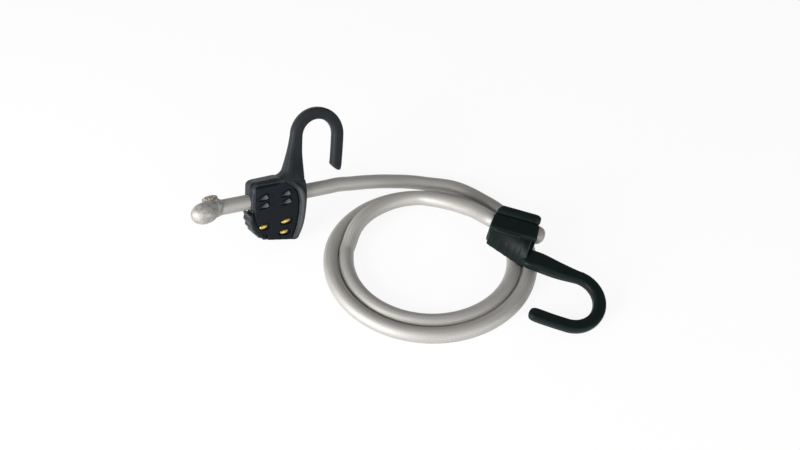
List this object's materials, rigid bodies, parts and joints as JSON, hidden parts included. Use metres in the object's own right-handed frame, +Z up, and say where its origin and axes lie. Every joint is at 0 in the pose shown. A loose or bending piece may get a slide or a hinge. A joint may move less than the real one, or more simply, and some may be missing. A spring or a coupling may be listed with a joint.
{
  "type": "adjustable bungee cord",
  "caption": "Braided elastic cord coiled flat, with a J hook that slides and grips it by a toothed rocker lever, and a J hook that holds its knotted end.",
  "frame": {"origin": "on the floor under the middle of the two hooks' common box", "axes": "+X from the adjuster hook to the end hook, +Y away from the viewer, +Z up from the floor that the coil lies on"},
  "size_m": [0.27, 0.1503, 0.0799],
  "materials": {
    "housing": "moulded charcoal, satin",
    "end_hook": "moulded black, satin",
    "brass": "pressed heads",
    "spring": "drawn wire",
    "cord": "braided silver-grey sleeve over a rubber core",
    "core": "cut rubber strands"
  },
  "bodies": {
    "cord": {"cord_tail": "cord", "cord_lead": "cord", "cord_coil": "cord", "cord_end": "cord", "tail_knot": "cord", "core_end": "core", "end_knot": "cord"},
    "adjuster": {"adjuster_hook": "housing", "adjuster_cover": "housing", "lever_pin": "brass", "cover_stud_upper": "brass", "cover_stud_lower": "brass", "lever_spring": "spring"},
    "lever": {"release_lever": "housing"},
    "end_hook": {"end_hook": "end_hook"}
  },
  "joints": [
    {"name": "adjuster_slide", "type": "slide", "parent": "cord", "child": "adjuster", "axis": [0.8492, 0.4845, -0.2101], "range_m": [-0.012, 0.014]},
    {"name": "lever_release", "type": "hinge", "parent": "adjuster", "child": "lever", "pos_m": [-0.10962, 0.00909, 0.02027], "axis": [0.5278, -0.7645, 0.3702], "range_deg": [0, 9], "stiffness_Nm_per_rad": 0.15, "springref_deg": -11.46, "deforming": ["lever_spring"]},
    {"name": "end_swivel", "type": "hinge", "parent": "cord", "child": "end_hook", "pos_m": [0.04936, 0.00446, 0.02749], "axis": [-0.9564, 0.2652, 0.1219], "range_deg": [0, 60]}
  ]
}
